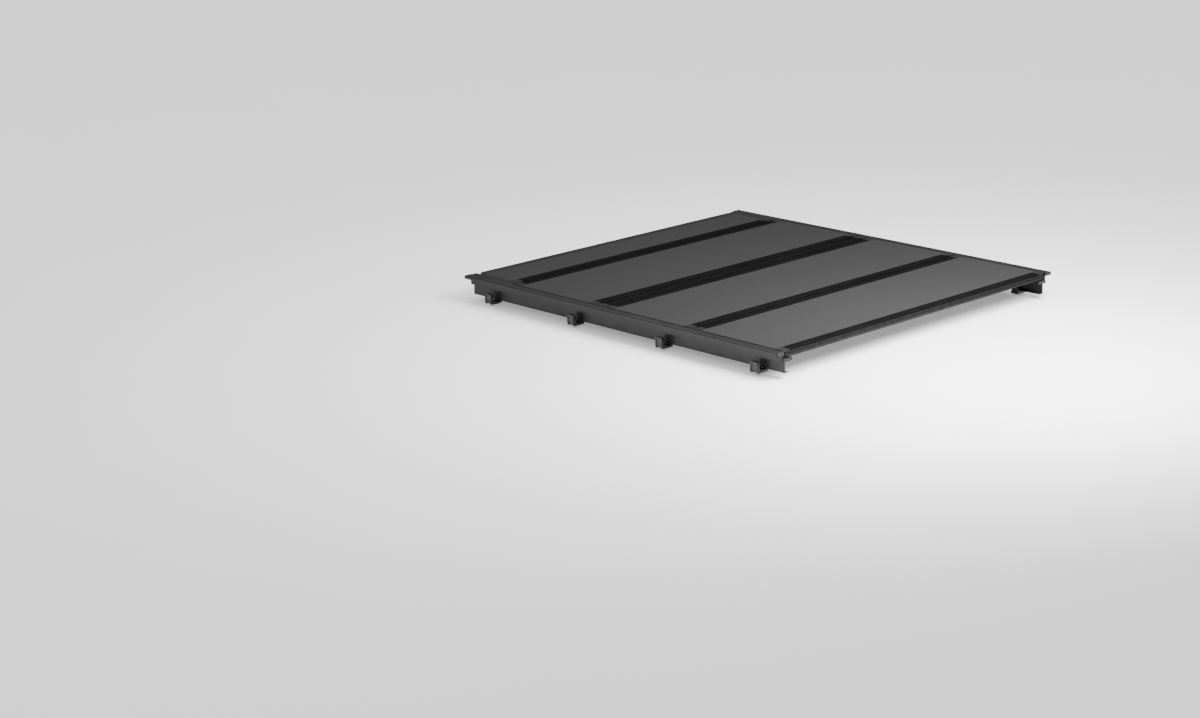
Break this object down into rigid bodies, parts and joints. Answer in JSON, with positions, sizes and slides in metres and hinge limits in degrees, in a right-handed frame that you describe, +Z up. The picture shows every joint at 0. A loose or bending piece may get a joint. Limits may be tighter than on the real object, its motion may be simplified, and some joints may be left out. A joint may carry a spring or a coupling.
{
  "type": "folding tonneau cover",
  "caption": "Hard folding tonneau cover: flat textured panels joined by long hinges, folding up between side rails clamped to a pickup bed, with spring latches and prop rods",
  "frame": {"origin": "centre of the underside of the bounding box, level with the heads of the lowest clamp bolts", "axes": "+X from the cab to the tailgate, +Y to the passenger side, +Z up"},
  "size_m": [1.728, 1.636, 0.116],
  "materials": {
    "textured_skin": "textured matte powder coat",
    "foam": "rigid foam",
    "black_frame": "satin black powder coat",
    "black_plastic": "fine grained moulded nylon",
    "rubber": "matte",
    "steel": "stamped, zinc plated",
    "cast_clamp": "black e-coat",
    "zinc_steel": "bright zinc"
  },
  "bodies": {
    "mount": {"cab_panel_top_skin": "textured_skin", "cab_panel_core": "foam", "cab_panel_bottom_skin": "textured_skin", "cab_panel_front_rail": "black_frame", "cab_panel_rear_rail": "black_frame", "cab_panel_side_frames": "black_frame", "cab_panel_corner_caps": "black_plastic", "rail_left": "black_frame", "rail_right": "black_frame", "rail_seals": "rubber", "rail_end_caps": "black_plastic", "rail_brackets": "steel", "clamp_upper_jaws": "cast_clamp", "clamp_lower_jaws": "cast_clamp", "rail_fasteners": "zinc_steel", "drain_nipples": "rubber", "bulkhead_seal": "rubber", "cab_hinge_seal": "rubber", "cab_hinge_pin": "zinc_steel"},
    "front_panel": {"front_panel_top_skin": "textured_skin", "front_panel_core": "foam", "front_panel_bottom_skin": "textured_skin", "front_panel_front_rail": "black_frame", "front_panel_rear_rail": "black_frame", "front_panel_side_frames": "black_frame", "front_panel_corner_caps": "black_plastic", "front_hinge_pin": "zinc_steel", "front_hinge_seal": "rubber", "prop_rod_brackets": "steel", "prop_rod_clips": "black_plastic"},
    "spacer": {"spacer_bar": "black_frame", "spacer_end_caps": "black_plastic"},
    "middle_panel": {"middle_panel_top_skin": "textured_skin", "middle_panel_core": "foam", "middle_panel_bottom_skin": "textured_skin", "middle_panel_front_rail": "black_frame", "middle_panel_rear_rail": "black_frame", "middle_panel_side_frames": "black_frame", "middle_panel_corner_caps": "black_plastic", "middle_hinge_pins": "zinc_steel", "middle_hinge_seals": "rubber"},
    "rear_panel": {"rear_panel_top_skin": "textured_skin", "rear_panel_core": "foam", "rear_panel_bottom_skin": "textured_skin", "rear_panel_front_rail": "black_frame", "rear_panel_rear_rail": "black_frame", "rear_panel_side_frames": "black_frame", "rear_panel_corner_caps": "black_plastic", "latch_housings": "black_plastic", "latch_springs": "zinc_steel", "release_cable": "zinc_steel", "release_grips": "rubber", "cable_guides": "black_plastic", "tailgate_seal": "rubber"},
    "latch_left": {"latch_bolt_left": "zinc_steel"},
    "latch_right": {"latch_bolt_right": "zinc_steel"},
    "rod_left": {"prop_rod_left": "zinc_steel"},
    "rod_right": {"prop_rod_right": "zinc_steel"},
    "knob_left": {"hold_down_knob_left": "black_plastic"},
    "knob_right": {"hold_down_knob_right": "black_plastic"}
  },
  "joints": [
    {"name": "fold_cab", "type": "hinge", "parent": "mount", "child": "front_panel", "pos_m": [-0.606, 0, 0.111], "axis": [0, -1, 0], "range_deg": [0, 92]},
    {"name": "fold_front", "type": "hinge", "parent": "front_panel", "child": "spacer", "pos_m": [-0.126, 0, 0.111], "axis": [0, -1, 0], "range_deg": [0, 90]},
    {"name": "fold_spacer", "type": "hinge", "parent": "spacer", "child": "middle_panel", "pos_m": [-0.074, 0, 0.111], "axis": [0, -1, 0], "range_deg": [0, 90]},
    {"name": "fold_middle", "type": "hinge", "parent": "middle_panel", "child": "rear_panel", "pos_m": [0.398, 0, 0.111], "axis": [0, -1, 0], "range_deg": [0, 180]},
    {"name": "latch_left_slide", "type": "slide", "parent": "rear_panel", "child": "latch_left", "axis": [0, 1, 0], "range_m": [0, 0.011], "stiffness_N_per_m": 400, "springref_m": -0.01, "deforming": ["latch_springs", "release_cable"]},
    {"name": "latch_right_slide", "type": "slide", "parent": "rear_panel", "child": "latch_right", "axis": [0, -1, 0], "range_m": [0, 0.011], "stiffness_N_per_m": 400, "springref_m": -0.01, "deforming": ["latch_springs", "release_cable"]},
    {"name": "rod_left_swing", "type": "hinge", "parent": "front_panel", "child": "rod_left", "pos_m": [-0.456, -0.725, 0.07], "axis": [0, 1, 0], "range_deg": [0, 136.52]},
    {"name": "rod_right_swing", "type": "hinge", "parent": "front_panel", "child": "rod_right", "pos_m": [-0.456, 0.725, 0.07], "axis": [0, 1, 0], "range_deg": [0, 136.52]},
    {"name": "knob_left_turn", "type": "hinge", "parent": "mount", "child": "knob_left", "pos_m": [-0.704, -0.715, 0.06], "axis": [0, 0, 1], "continuous": true},
    {"name": "knob_right_turn", "type": "hinge", "parent": "mount", "child": "knob_right", "pos_m": [-0.704, 0.715, 0.06], "axis": [0, 0, 1], "continuous": true}
  ],
  "couplings": [
    {"joint": "latch_right_slide", "follows": "latch_left_slide", "ratio": 1}
  ]
}
